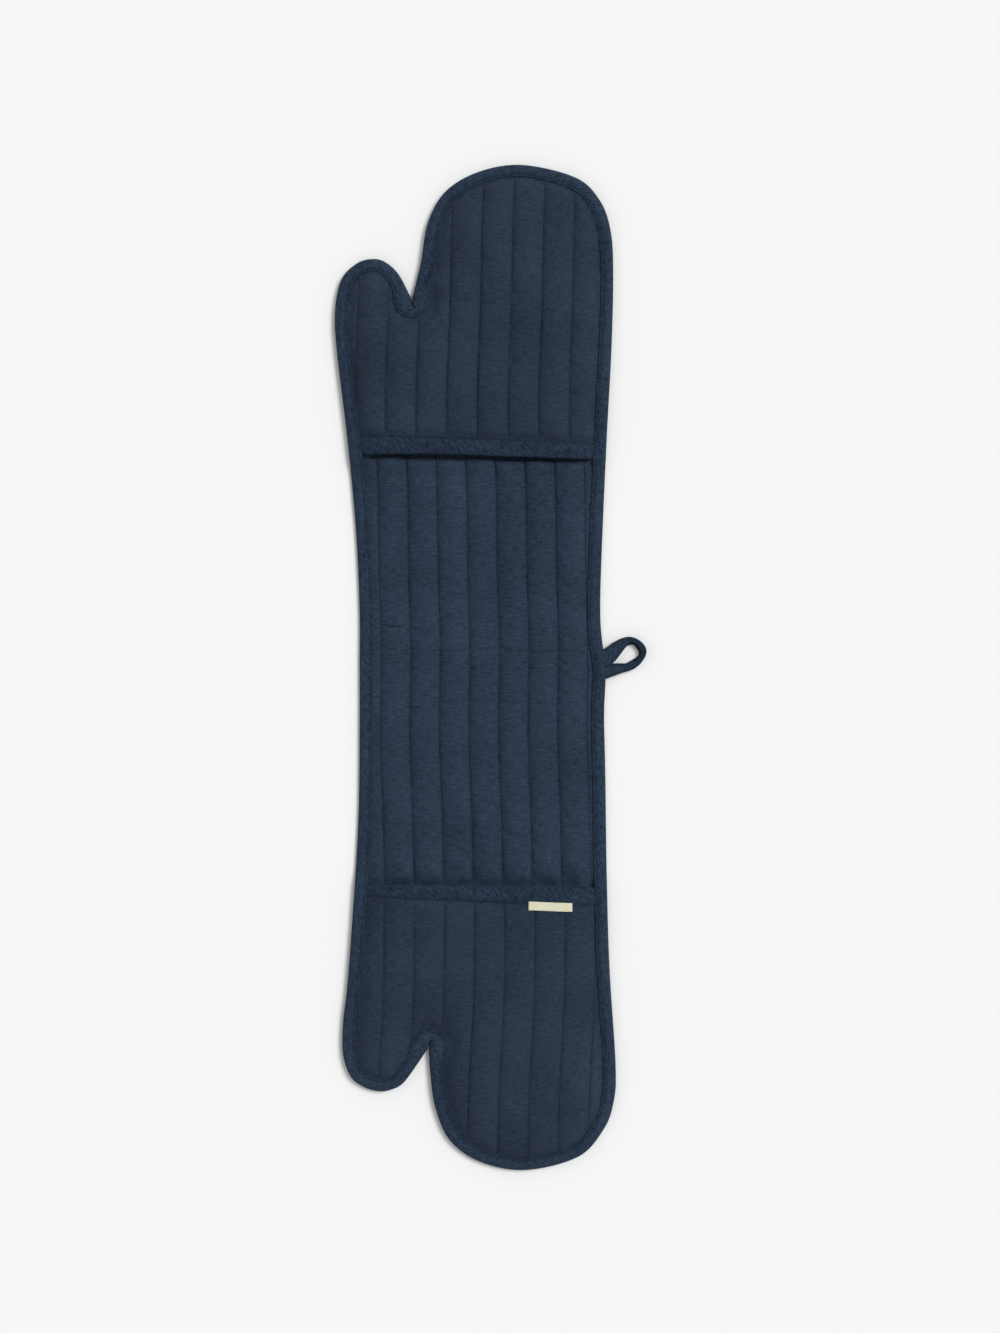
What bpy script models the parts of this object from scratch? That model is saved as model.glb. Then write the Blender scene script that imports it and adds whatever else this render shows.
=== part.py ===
"""Double oven glove: a quilted strip with a hand pocket sewn on each end.

It lies flat on a table with the pockets up. Units are metres. X runs across the strip, Y along
it and Z up. The origin is on the flat underside, in the middle of the strip.
"""

import math

import bmesh
import bpy
from mathutils import Matrix, Vector
from mathutils.geometry import interpolate_bezier, intersect_point_line

for old in list(bpy.data.objects):
    bpy.data.objects.remove(old)

# Overall sizes
total_length = 0.850
waist_width = 0.203
upper_mouth = 0.1774  # from the middle of the length to the mouth of each pocket
lower_mouth = 0.1843

# Cloth, wadding and tape thicknesses
fabric = 0.0008
tape = 0.0007
label_thickness = 0.0005
gap = 0.0003
strip_loft = 0.0043  # wadding at the crest of a channel
pocket_loft = 0.0038
pressed_wadding = 0.0006  # wadding under a stitch line

# Edge binding, a tape folded round the edge
binding_width = 0.011
binding_nose = 0.0011
cloth_in_binding = 0.003  # how far the strip's cut edge lies inside the glove's outline
rise_run = 0.012  # the binding thickens over this length before a pocket's mouth
crotch_radius = 0.001

# Quilting: lengthwise lines of stitches
quilt_pitch = 0.025
upper_quilt_pitch = 0.0258
lower_quilt_pitch = 0.0254
strip_quilt_start = -0.0094
upper_quilt_start = -0.0002
lower_quilt_start = -0.0052
lines_each_side = 3
groove_half = 0.006
edge_flat = 0.0005  # flattened cloth that shows beside the binding
edge_slope = 0.0085  # the cloth swells to its full loft over this width

# Pockets
crown = 0.009  # room for a hand, from the sewn edge to the middle of a pocket
crown_reach = 0.060
crown_fullness = 4
upper_hem_width = 0.015
lower_hem_width = 0.012
hem_slope = 0.007
pocket_rows = 3

# Hanging loop, on the right-hand edge
loop_reach = 0.0393
loop_seat_y = 0.003
loop_seat_length = 0.022
loop_tape = 0.0014
seam_to_loop = 0.0005  # from the lowest point of the loop to the fold line

# Label on the lower pocket
label_width = 0.038
label_height = 0.0093
label_from_edge = 0.0415  # from the strip's right-hand edge to the label's middle
label_below_hem = 0.0012

facet_angle = math.radians(13)
crotch_facets = 4
weld = 0.0006

# Outlines as shares of half the waist and half the length, from the fold round to the thumb
upper_finger_shares = (
    (1.000, 0.000), (1.000, 0.160), (1.050, 0.450), (1.090, 0.630), (1.105, 0.780),
    (1.085, 0.870), (1.000, 0.930), (0.800, 0.975), (0.360, 1.000), (0.000, 0.987),
    (-0.280, 0.948), (-0.430, 0.885), (-0.490, 0.805), (-0.5625, 0.732),
)
upper_thumb_shares = (
    (-0.5625, 0.732), (-0.670, 0.781), (-0.780, 0.806), (-0.8875, 0.813), (-1.020, 0.8045),
    (-1.150, 0.772), (-1.204, 0.710), (-1.190, 0.630), (-1.100, 0.450), (-1.030, 0.270),
    (-1.000, 0.114), (-1.000, 0.000),
)
lower_finger_shares = (
    (1.000, 0.000), (1.035, 0.160), (1.052, 0.420), (1.075, 0.600), (1.125, 0.790),
    (1.110, 0.865), (1.030, 0.920), (0.820, 0.974), (0.380, 1.000), (0.000, 0.983),
    (-0.250, 0.940), (-0.370, 0.875), (-0.410, 0.810), (-0.425, 0.756),
)
lower_thumb_shares = (
    (-0.425, 0.756), (-0.520, 0.790), (-0.640, 0.828), (-0.750, 0.841), (-0.846, 0.843),
    (-0.970, 0.834), (-1.080, 0.812), (-1.140, 0.765), (-1.135, 0.700), (-1.105, 0.640),
    (-1.060, 0.500), (-1.010, 0.300), (-1.000, 0.120), (-1.000, 0.000),
)

# The loop's outer edge and its hole, station by station round it, as shares of its reach: X from
# the glove's edge, Y from the middle of its seat, and the height below the seat's top
loop_outer_shares = (
    (0.000, 0.000, 0.000), (0.000, 0.280, 0.000), (0.379, 0.509, -0.030), (0.601, 0.583, -0.025),
    (0.791, 0.545, 0.010), (0.936, 0.430, 0.036), (1.000, 0.280, 0.040), (0.980, 0.150, 0.036),
    (0.888, 0.025, 0.000), (0.697, -0.127, -0.050), (0.476, -0.196, -0.045),
    (0.265, -0.272, -0.020), (0.000, -0.280, 0.000),
)
loop_hole_shares = (
    (0.321, 0.041, -0.010), (0.328, 0.061, -0.012), (0.453, 0.206, -0.050), (0.593, 0.392, -0.095),
    (0.697, 0.425, -0.120), (0.796, 0.377, -0.126), (0.860, 0.267, -0.126), (0.850, 0.178, -0.126),
    (0.743, 0.115, -0.115), (0.580, 0.015, -0.095), (0.420, 0.020, -0.060),
    (0.341, 0.022, -0.025), (0.323, 0.028, -0.012),
)

# Sizes that follow from those above
half_length = total_length / 2
half_waist = waist_width / 2
underside_lift = tape + gap
stitched_strip = underside_lift + 2 * fabric + 2 * gap + pressed_wadding
pocket_seat = stitched_strip + gap
stitched_panel = 2 * fabric + 2 * gap + pressed_wadding
middle_binding = stitched_strip + gap + tape
mitt_binding = pocket_seat + stitched_panel + gap + tape
pocket_inset = binding_width + gap
loop_top = middle_binding + gap + loop_tape
loop_low = -min(share[1] for share in loop_outer_shares) * loop_reach
fold_y = loop_seat_y - loop_low - seam_to_loop
fold_height = strip_loft + 2 * (fabric + gap) + fabric


def empty(name, place):
    """A parent for the pieces that turn together, on the line that they turn about."""
    marker = bpy.data.objects.new(name, None)
    marker.location = place
    bpy.context.scene.collection.objects.link(marker)
    return marker


def cloth_material(name, colour, roughness):
    material = bpy.data.materials.new(name)
    material.use_nodes = True
    shader = material.node_tree.nodes["Principled BSDF"]
    shader.inputs["Base Color"].default_value = (*colour, 1)
    shader.inputs["Roughness"].default_value = roughness
    shader.inputs["Metallic"].default_value = 0
    return material


def finish(name, bm, side, parent, material):
    """Turn a shape that was measured outwards from the middle into an object on its parent."""
    bmesh.ops.transform(bm, matrix=Matrix.Scale(side, 4, Vector((0, 1, 0))), verts=bm.verts)
    bmesh.ops.translate(bm, vec=-parent.location, verts=bm.verts)
    bmesh.ops.recalc_face_normals(bm, faces=bm.faces)
    mesh = bpy.data.meshes.new(name)
    bm.to_mesh(mesh)
    bm.free()
    mesh.materials.append(material)
    obj = bpy.data.objects.new(name, mesh)
    obj.parent = parent
    bpy.context.scene.collection.objects.link(obj)
    return obj


def smooth_line(points, lead, trail):
    """A smooth curve through the points, finer where it turns; lead and trail set its ends."""
    line = [points[0]]
    row = [lead, *points, trail]
    for before, start, end, after in zip(row, row[1:], row[2:], row[3:]):
        leaving, arriving = (end - before) / 6, (after - start) / 6
        steps = max(1, math.ceil(leaving.angle(arriving) / facet_angle))
        line += interpolate_bezier(start, start + leaving, end - arriving, end, steps + 1)[1:]
    return line


def inward(start, end):
    """The unit normal that points into the cloth when start to end runs round the edge."""
    along = (end - start).normalized()
    return Vector((-along.y, along.x, 0))


def outline_rail(finger_shares, thumb_shares, start):
    """The outline as (point, inward normal), from the fold line round the hand to the fold line."""
    curves = []
    for shares in (finger_shares, thumb_shares):
        curves.append([Vector((x * half_waist, y * half_length, 0)) for x, y in shares])
    fingers, thumb = curves
    fingers[0].y = thumb[-1].y = start
    across = Matrix.Scale(-1, 4, Vector((0, 1, 0)))
    lead = across @ (fingers[1] - fingers[0]) + fingers[0]
    trail = across @ (thumb[-2] - thumb[-1]) + thumb[-1]
    crotch = fingers[-1]
    fingers = smooth_line(fingers, lead, 2 * crotch - fingers[-2])
    thumb = smooth_line(thumb, 2 * crotch - thumb[1], trail)

    rail = [(fingers[0], Vector((-1, 0, 0)))]
    for before, point, after in zip(fingers, fingers[1:], fingers[2:]):
        rail.append((point, inward(before, after)))
    first, last = inward(fingers[-2], crotch), inward(crotch, thumb[1])
    turn = -first.angle(last)
    for step in range(crotch_facets + 1):
        normal = Matrix.Rotation(turn * step / crotch_facets, 3, "Z") @ first
        rail.append((crotch + normal * crotch_radius, normal))
    for before, point, after in zip(thumb, thumb[1:], thumb[2:]):
        rail.append((point, inward(before, after)))
    rail.append((thumb[-1], Vector((1, 0, 0))))
    return rail


def edge_distance(rail, place):
    """How far a place in the cloth lies from the outline."""
    nearest = math.inf
    for (start, _), (end, _) in zip(rail, rail[1:]):
        point, share = intersect_point_line(place, start, end)
        point = start if share < 0 else end if share > 1 else point
        nearest = min(nearest, (point - place).length)
    return nearest


def cut(bm, place, normal, **clear):
    geometry = bm.verts[:] + bm.edges[:] + bm.faces[:]
    bmesh.ops.bisect_plane(bm, geom=geometry, dist=weld, plane_co=place, plane_no=normal, **clear)


def quilt_lines(start, pitch):
    return [start + pitch * i for i in range(-lines_each_side, lines_each_side + 1)]


def flat_panel(rail, insets, lines, rows):
    """A flat cloth cut along rings that follow the edge, along its quilting and across it."""
    bm = bmesh.new()
    rings = [[bm.verts.new(point + normal * inset) for point, normal in rail] for inset in insets]
    for outer, inner in zip(rings, rings[1:]):
        for i in range(len(rail) - 1):
            bm.faces.new((outer[i], outer[i + 1], inner[i + 1], inner[i]))
    bm.faces.new(rings[-1])
    score(bm, lines, rows)
    return bm


def score(bm, lines, rows):
    """Cut a flat cloth at both sides and the middle of each groove, and along each row."""
    for line in lines:
        for x in (line - groove_half, line, line + groove_half):
            cut(bm, (x, 0, 0), (1, 0, 0))
    for row in rows:
        cut(bm, (0, row, 0), (0, 1, 0))


def cloth(flat, bottom, top):
    """A closed sheet over the flat panel, between the two heights that the functions give."""
    bm = flat.copy()
    bmesh.ops.triangulate(bm, faces=bm.faces)
    lower = bm.verts[:]
    raised = bmesh.ops.extrude_face_region(bm, geom=bm.faces[:], use_keep_orig=True)["geom"]
    upper = [item for item in raised if isinstance(item, bmesh.types.BMVert)]
    for verts, height in ((lower, bottom), (upper, top)):
        for vert in verts:
            vert.co.z = height(vert.co.xy.to_3d())
    return bm


def swept(sections, closed=False):
    """A solid through the sections, which all have the same number of corners."""
    bm = bmesh.new()
    rings = [[bm.verts.new(point) for point in section] for section in sections]
    pairs = list(zip(rings, rings[1:]))
    if closed:
        pairs.append((rings[-1], rings[0]))
    else:
        bm.faces.new(rings[0])
        bm.faces.new(rings[-1])
    for near, far in pairs:
        for i in range(len(near)):
            j = (i + 1) % len(near)
            bm.faces.new((near[i], near[j], far[j], far[i]))
    return bm


def fall(distance, full, slope):
    """1 up to full, then down to 0 over slope."""
    return min(1, max(0, 1 - (distance - full) / slope))


def line_pinch(x, lines):
    return max(fall(abs(x - line), 0, groove_half) for line in lines)


class Strip:
    """One half of the quilted strip, from the fold line to the fingertips."""

    def __init__(self, finger_shares, thumb_shares, start):
        self.rail = outline_rail(finger_shares, thumb_shares, start)
        self.lines = quilt_lines(strip_quilt_start, quilt_pitch)
        stitched = binding_width + edge_flat
        insets = (cloth_in_binding, stitched, stitched + edge_slope)
        self.flat = flat_panel(self.rail, insets, self.lines, ())

    def pinch(self, place):
        edge = fall(edge_distance(self.rail, place), binding_width + edge_flat, edge_slope)
        return max(edge, line_pinch(place.x, self.lines))

    def back_bottom(self, place):
        return underside_lift * self.pinch(place)

    def back_top(self, place):
        return self.back_bottom(place) + fabric

    def wadding_bottom(self, place):
        return self.back_top(place) + gap

    def wadding_top(self, place):
        pinch = self.pinch(place)
        loft = strip_loft + (pressed_wadding - strip_loft) * pinch
        return self.wadding_bottom(place) + loft

    def inner_bottom(self, place):
        return self.wadding_top(place) + gap

    def inner_top(self, place):
        return self.inner_bottom(place) + fabric


class Pocket:
    """One quilted hand panel, from its mouth to the fingertips, crowned over the strip."""

    def __init__(self, rail, mouth, hem_width, quilt_start, pitch):
        self.rail = rail
        self.mouth = mouth
        self.hem_end = mouth + hem_width
        self.cut_edge = mouth + tape + gap
        self.lines = quilt_lines(quilt_start, pitch)
        self.rows = [self.hem_end + gap, self.hem_end + gap + hem_slope]
        run = half_length - pocket_inset - self.rows[-1]
        for i in range(pocket_rows):
            self.rows.append(self.rows[1] + run * (i + 1) / (pocket_rows + 1))
        insets = (pocket_inset, pocket_inset + edge_slope)
        self.flat = flat_panel(rail, insets, self.lines, self.rows)
        cut(self.flat, (0, self.cut_edge, 0), (0, 1, 0), clear_inner=True)
        left, right = side_at(rail, pocket_inset, self.hem_end)
        self.stations = [left, right]
        for line in self.lines:
            self.stations += [line - groove_half, line, line + groove_half]
        self.stations.sort()
        self.profile = [(x, self.swell(Vector((x, self.hem_end, 0)))) for x in self.stations]

    def swell(self, place):
        """The height of the panel's underside where nothing but its sewn edge holds it down."""
        inside = edge_distance(self.rail, place) - pocket_inset
        share = min(1, max(0, inside / crown_reach))
        return pocket_seat + crown * (1 - (1 - share) ** crown_fullness)

    def mouth_seat(self, x):
        """The same along the mouth, where the hem holds the panel straight from line to line."""
        for (start, low), (end, high) in zip(self.profile, self.profile[1:]):
            if x <= end:
                break
        return low + (high - low) * (x - start) / (end - start)

    def seat(self, place):
        if place.y < self.hem_end + 2 * gap:
            return self.mouth_seat(place.x)
        return self.swell(place)

    def pinches(self, place):
        edge = fall(edge_distance(self.rail, place), pocket_inset + gap, edge_slope)
        hem = fall(place.y, self.hem_end + gap, hem_slope)
        return edge, hem, line_pinch(place.x, self.lines)

    def lining_bottom(self, place):
        edge, hem, line = self.pinches(place)
        return self.seat(place) + underside_lift * max(hem, line * (1 - edge))

    def lining_top(self, place):
        return self.lining_bottom(place) + fabric

    def wadding_bottom(self, place):
        return self.lining_top(place) + gap

    def wadding_top(self, place):
        loft = pocket_loft + (pressed_wadding - pocket_loft) * max(self.pinches(place))
        return self.wadding_bottom(place) + loft

    def outer_bottom(self, place):
        return self.wadding_top(place) + gap

    def outer_top(self, place):
        return self.outer_bottom(place) + fabric


def edge_binding(rail, mouth):
    """The folded tape round one half, thicker beside the pocket than beside the bare strip."""
    top = middle_binding
    corners = (
        (binding_width, 0), (binding_nose, 0), (0, binding_nose), (0, top - binding_nose),
        (binding_nose, top), (binding_width, top), (binding_width, top - tape),
        (tape, top - tape), (tape, tape), (binding_width, tape),
    )
    sections = []
    for point, normal in rail:
        sections.append([point + normal * inset + Vector((0, 0, z)) for inset, z in corners])
    bm = swept(sections)
    raised = mouth - binding_nose
    for place in (raised - rise_run, raised):
        cut(bm, (0, place, 0), (0, 1, 0))
    for vert in bm.verts:
        if vert.co.z > top / 2:
            vert.co.z += (mitt_binding - top) * (1 - fall(vert.co.y, raised - rise_run, rise_run))
    return bm


def sewn_edge(rail, mouth):
    """The edge of a pocket's panel that the binding holds, pressed flat by the stitches."""
    top = pocket_seat + stitched_panel
    corners = (
        (cloth_in_binding, pocket_seat), (cloth_in_binding, top),
        (binding_width, top), (binding_width, pocket_seat),
    )
    sections = []
    for point, normal in rail:
        sections.append([point + normal * inset + Vector((0, 0, z)) for inset, z in corners])
    bm = swept(sections)
    cut(bm, (0, mouth, 0), (0, 1, 0), clear_inner=True)
    bmesh.ops.holes_fill(bm, edges=[edge for edge in bm.edges if edge.is_boundary])
    return bm


def side_at(rail, inset, height):
    """Left and right edge of the cloth, this far inside the outline, at a height up the strip."""
    crossings = []
    line = [point + normal * inset for point, normal in rail]
    for start, end in zip(line, line[1:]):
        if (start.y - height) * (end.y - height) <= 0 and start.y != end.y:
            crossings.append(start.lerp(end, (height - start.y) / (end.y - start.y)).x)
    return min(crossings), max(crossings)


def hem(pocket):
    """The tape folded over a pocket's mouth, which stands up with the panel's crown."""
    near, far = pocket.mouth, pocket.hem_end
    high = 2 * (tape + gap) + stitched_panel
    corners = (
        (far, 0), (near, 0), (near, high), (far, high),
        (far, high - tape), (near + tape, high - tape), (near + tape, tape), (far, tape),
    )
    sections = []
    for station in pocket.stations:
        section = []
        for y, z in corners:
            x = station
            if station in (pocket.stations[0], pocket.stations[-1]):
                x = side_at(pocket.rail, pocket_inset, y)[station > 0]
            section.append(Vector((x, y, pocket.mouth_seat(x) + z)))
        sections.append(section)
    return swept(sections)


def label(pocket):
    """A narrow woven label that hangs from the hem's stitches and follows the panel under it."""
    bm = pocket.flat.copy()
    bmesh.ops.triangulate(bm, faces=bm.faces)
    for vert in bm.verts:
        vert.co.z = pocket.outer_top(vert.co.xy.to_3d()) + gap
    top = pocket.hem_end + label_below_hem
    left = half_waist - label_from_edge - label_width / 2
    cut(bm, (left, 0, 0), (1, 0, 0), clear_inner=True)
    cut(bm, (left + label_width, 0, 0), (1, 0, 0), clear_outer=True)
    cut(bm, (0, top, 0), (0, 1, 0), clear_inner=True)
    cut(bm, (0, top + label_height, 0), (0, 1, 0), clear_outer=True)
    raised = bmesh.ops.extrude_face_region(bm, geom=bm.faces[:], use_keep_orig=True)["geom"]
    upper = [item for item in raised if isinstance(item, bmesh.types.BMVert)]
    bmesh.ops.translate(bm, vec=(0, 0, label_thickness), verts=upper)
    return bm


def hanging_loop(edge_x):
    """A ring of folded tape: flat at its seat, and standing on edge at its far end."""
    seat = Vector((edge_x, loop_seat_y, loop_top))
    edges = []
    for shares in (loop_outer_shares, loop_hole_shares):
        line = closed_line([seat + Vector(share) * loop_reach for share in shares])
        for point in line:
            point.x = max(point.x, edge_x + gap)
        edges.append(line)
    drop = Vector((0, 0, -loop_tape))
    sections = [(outer, outer + drop, hole + drop, hole) for outer, hole in zip(*edges)]
    return swept(sections, closed=True)


def closed_line(points):
    """A smooth closed curve through the points, with one more point between each two."""
    line = []
    count = len(points)
    for i in range(count):
        before, start = points[i - 1], points[i]
        end, after = points[(i + 1) % count], points[(i + 2) % count]
        handles = (start + (end - before) / 6, end - (after - start) / 6)
        line += interpolate_bezier(start, *handles, end, 3)[:-1]
    return line


def loop_sewn_end(edge_x):
    """The two ends of the loop's tape, sewn down flat across the binding."""
    sections = []
    for inset in (binding_width, gap):
        x = edge_x - inset
        section = []
        for y, z in ((-1, 1), (1, 1), (1, 0), (-1, 0)):
            place = loop_seat_y + y * loop_seat_length / 2
            section.append(Vector((x, place, loop_top - (1 - z) * loop_tape)))
        sections.append(section)
    return swept(sections)


panel_cloth = cloth_material("panel_cloth", (0.034, 0.051, 0.089), 0.92)
back_cloth = cloth_material("back_cloth", (0.030, 0.045, 0.079), 0.92)
lining_cloth = cloth_material("lining_cloth", (0.036, 0.055, 0.095), 0.94)
wadding_felt = cloth_material("wadding", (0.78, 0.77, 0.74), 0.97)
binding_tape = cloth_material("binding_tape", (0.030, 0.047, 0.085), 0.88)
label_tape = cloth_material("label_tape", (0.72, 0.70, 0.55), 0.75)

upper = Strip(upper_finger_shares, upper_thumb_shares, fold_y + gap / 2)
lower = Strip(lower_finger_shares, lower_thumb_shares, -fold_y + gap / 2)
upper_pocket = Pocket(upper.rail, upper_mouth, upper_hem_width, upper_quilt_start, upper_quilt_pitch)
lower_pocket = Pocket(lower.rail, lower_mouth, lower_hem_width, lower_quilt_start, lower_quilt_pitch)

# Each pocket's panel is stiffest where it is sewn in at the fingertips, and opens about that edge
tip_axis = half_length - binding_width - gap / 2
tip_height = pocket_seat + stitched_panel
upper_half = empty("upper_half_seat", (0, 0, 0))
centre_fold = empty("centre_fold_axis", (0, fold_y, fold_height))
upper_opening = empty("upper_pocket_axis", (0, tip_axis, tip_height))
lower_opening = empty("lower_pocket_axis", (0, -tip_axis, tip_height))
loop_hinge = empty("loop_axis", (half_waist, loop_seat_y, loop_top))

for name, side, strip, pocket, seat, opening in (
    ("upper", 1, upper, upper_pocket, upper_half, upper_opening),
    ("lower", -1, lower, lower_pocket, centre_fold, lower_opening),
):
    strip_layers = (
        ("back_fabric", strip.back_bottom, strip.back_top, back_cloth),
        ("strip_wadding", strip.wadding_bottom, strip.wadding_top, wadding_felt),
        ("inner_fabric", strip.inner_bottom, strip.inner_top, panel_cloth),
    )
    for layer, bottom, top, material in strip_layers:
        finish(f"{name}_{layer}", cloth(strip.flat, bottom, top), side, seat, material)
    binding = edge_binding(strip.rail, pocket.mouth)
    finish(f"{name}_edge_binding", binding, side, seat, binding_tape)
    sewn = sewn_edge(strip.rail, pocket.mouth)
    finish(f"{name}_pocket_sewn_edge", sewn, side, seat, panel_cloth)
    pocket_layers = (
        ("pocket_lining", pocket.lining_bottom, pocket.lining_top, lining_cloth),
        ("pocket_wadding", pocket.wadding_bottom, pocket.wadding_top, wadding_felt),
        ("pocket_outer_fabric", pocket.outer_bottom, pocket.outer_top, panel_cloth),
    )
    for layer, bottom, top, material in pocket_layers:
        finish(f"{name}_{layer}", cloth(pocket.flat, bottom, top), side, opening, material)
    finish(f"{name}_pocket_hem", hem(pocket), side, opening, binding_tape)

finish("label", label(lower_pocket), -1, lower_opening, label_tape)
finish("hanging_loop", hanging_loop(half_waist), 1, loop_hinge, binding_tape)
finish("loop_sewn_end", loop_sewn_end(half_waist), 1, upper_half, binding_tape)
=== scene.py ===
"""Looks of the double oven glove: quilted cloth, bias tape, threads, label and hanging loop.

The glove lies open on a pale table with its pockets up, as in the photograph, which looks straight
down. Units are metres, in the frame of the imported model: X across the strip, Y along it, Z up.
"""

import math

import bmesh
import bpy
import numpy as np
from mathutils import Matrix, Vector, noise
from mathutils.bvhtree import BVHTree
from mathutils.geometry import interpolate_bezier
from mathutils.kdtree import KDTree


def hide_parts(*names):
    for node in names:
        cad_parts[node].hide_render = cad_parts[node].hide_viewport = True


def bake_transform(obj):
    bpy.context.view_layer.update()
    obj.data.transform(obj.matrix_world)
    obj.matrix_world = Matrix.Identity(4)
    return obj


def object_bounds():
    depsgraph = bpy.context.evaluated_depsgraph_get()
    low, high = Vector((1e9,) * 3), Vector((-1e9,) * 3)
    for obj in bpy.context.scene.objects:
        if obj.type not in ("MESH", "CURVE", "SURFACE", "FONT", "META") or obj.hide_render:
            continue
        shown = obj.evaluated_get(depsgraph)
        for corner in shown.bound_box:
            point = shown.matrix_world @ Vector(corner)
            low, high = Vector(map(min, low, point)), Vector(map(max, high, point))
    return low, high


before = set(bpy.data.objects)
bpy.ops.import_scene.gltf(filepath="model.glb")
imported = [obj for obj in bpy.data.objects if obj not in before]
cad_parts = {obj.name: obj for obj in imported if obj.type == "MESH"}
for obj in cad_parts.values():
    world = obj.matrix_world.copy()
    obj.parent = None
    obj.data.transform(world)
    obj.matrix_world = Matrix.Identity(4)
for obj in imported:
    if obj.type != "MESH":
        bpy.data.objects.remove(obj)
cad_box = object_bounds()


# The view. The photograph is taken from straight above, so one pixel is the same length all over
# it, and that length comes from the glove's own.
photo_width_px, photo_height_px = 1000, 1333
photo_length_px = 1005  # the glove, from one set of fingertips to the other
photo_origin_px = Vector((479.5, 667.5))  # where the frame's origin lies
lens_mm, sensor_mm = 60, 36
seen_level = 0.004  # the height at which the scale holds

half_length = (cad_box[1].y - cad_box[0].y) / 2
metre_per_px = 2 * half_length / photo_length_px
camera = bpy.data.objects.new("camera", bpy.data.cameras.new("camera"))
camera.data.sensor_fit = "VERTICAL"
camera.data.sensor_height = sensor_mm
camera.data.lens = lens_mm
camera_height = photo_height_px * metre_per_px * lens_mm / sensor_mm + seen_level
camera.location = (
    (photo_width_px / 2 - photo_origin_px.x) * metre_per_px,
    (photo_origin_px.y - photo_height_px / 2) * metre_per_px,
    camera_height,
)
camera.data.clip_end = 20
bpy.context.scene.collection.objects.link(camera)
bpy.context.scene.camera = camera
bpy.context.scene.view_settings.view_transform = "Standard"


# The light. An even pale room with one soft lamp up on the right, which leaves the narrow shadow
# that the photograph shows along the glove's left-hand edges.
room_strength = 0.53  # as it lights the glove
seen_strength = 0.92  # as the camera sees it, beyond the table
lamp_strength = 2.0
lamp_softness = math.radians(24)
lamp_from = Vector((0.67, 0.40, 1.08))

lamp = bpy.data.objects.new("lamp", bpy.data.lights.new("lamp", "SUN"))
lamp.data.energy = lamp_strength
lamp.data.angle = lamp_softness
lamp.rotation_euler = lamp_from.to_track_quat("Z", "Y").to_euler()
bpy.context.scene.collection.objects.link(lamp)

world = bpy.data.worlds.new("room")
world.use_nodes = True
background = world.node_tree.nodes["Background"]
background.inputs["Color"].default_value = (1, 1, 1, 1)
seen = world.node_tree.nodes.new("ShaderNodeLightPath")
strength = world.node_tree.nodes.new("ShaderNodeMapRange")
strength.inputs["To Min"].default_value = room_strength
strength.inputs["To Max"].default_value = seen_strength
world.node_tree.links.new(seen.outputs["Is Camera Ray"], strength.inputs["Value"])
world.node_tree.links.new(strength.outputs["Result"], background.inputs["Strength"])
bpy.context.scene.world = world


# The table: a plain white sheet under the glove, which isn't part of the object.
floor_size = 6
floor_drop = 0.0008  # below the glove's underside
floor_colour = (0.892, 0.892, 0.892, 1)


class Value:
    """A socket in a material's graph. Sums on it add Math nodes."""

    def __init__(self, graph, socket):
        self.graph, self.socket = graph, socket

    def math(self, operation, *values):
        return self.graph.add("ShaderNodeMath", {"operation": operation}, *values)

    def __add__(self, other):
        return self.math("ADD", self, other)

    def __sub__(self, other):
        return self.math("SUBTRACT", self, other)

    def __rsub__(self, other):
        return self.math("SUBTRACT", other, self)

    def __mul__(self, other):
        return self.math("MULTIPLY", self, other)

    def __truediv__(self, other):
        return self.math("DIVIDE", self, other)

    __radd__, __rmul__ = __add__, __mul__


class Graph:
    """A material's node graph, with its Principled shader."""

    def __init__(self, name):
        self.material = bpy.data.materials.new(name)
        self.material.use_nodes = True
        self.tree = self.material.node_tree
        self.shader = self.tree.nodes["Principled BSDF"]

    def add(self, kind, settings, *values, output=0, **named):
        """A node with its settings, then its inputs in order or by name, as one of its outputs."""
        node = self.tree.nodes.new(kind)
        for key, value in settings.items():
            setattr(node, key, value)
        for key, value in [*enumerate(values), *named.items()]:
            self.set(node.inputs[key], value)
        return Value(self, node.outputs[output])

    def set(self, socket, value):
        if isinstance(value, Value):
            self.tree.links.new(value.socket, socket)
        elif value is not None:
            socket.default_value = value

    def mix(self, share, start, end):
        """The colour between two others."""
        node = self.tree.nodes.new("ShaderNodeMix")
        node.data_type = "RGBA"
        for index, value in ((0, share), (6, start), (7, end)):
            self.set(node.inputs[index], value)
        return Value(self, node.outputs[2])

    def noise(self, vector, detail=2, roughness=0.5):
        settings = {"noise_dimensions": "2D"}
        values = {"Scale": 1, "Detail": detail, "Roughness": roughness}
        return self.add("ShaderNodeTexNoise", settings, vector, None, **values)

    def finish(self, **inputs):
        for key, value in inputs.items():
            self.set(self.shader.inputs[key.replace("_", " ")], value)
        return self.material


bm = bmesh.new()
bmesh.ops.create_grid(bm, x_segments=1, y_segments=1, size=floor_size / 2)
bmesh.ops.translate(bm, vec=(0, 0, -floor_drop), verts=bm.verts)
floor_mesh = bpy.data.meshes.new("floor")
bm.to_mesh(floor_mesh)
bm.free()
floor = bpy.data.objects.new("floor", floor_mesh)
bpy.context.scene.collection.objects.link(floor)
floor_mesh.materials.append(Graph("floor").finish(Base_Color=floor_colour, Roughness=1))


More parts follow.
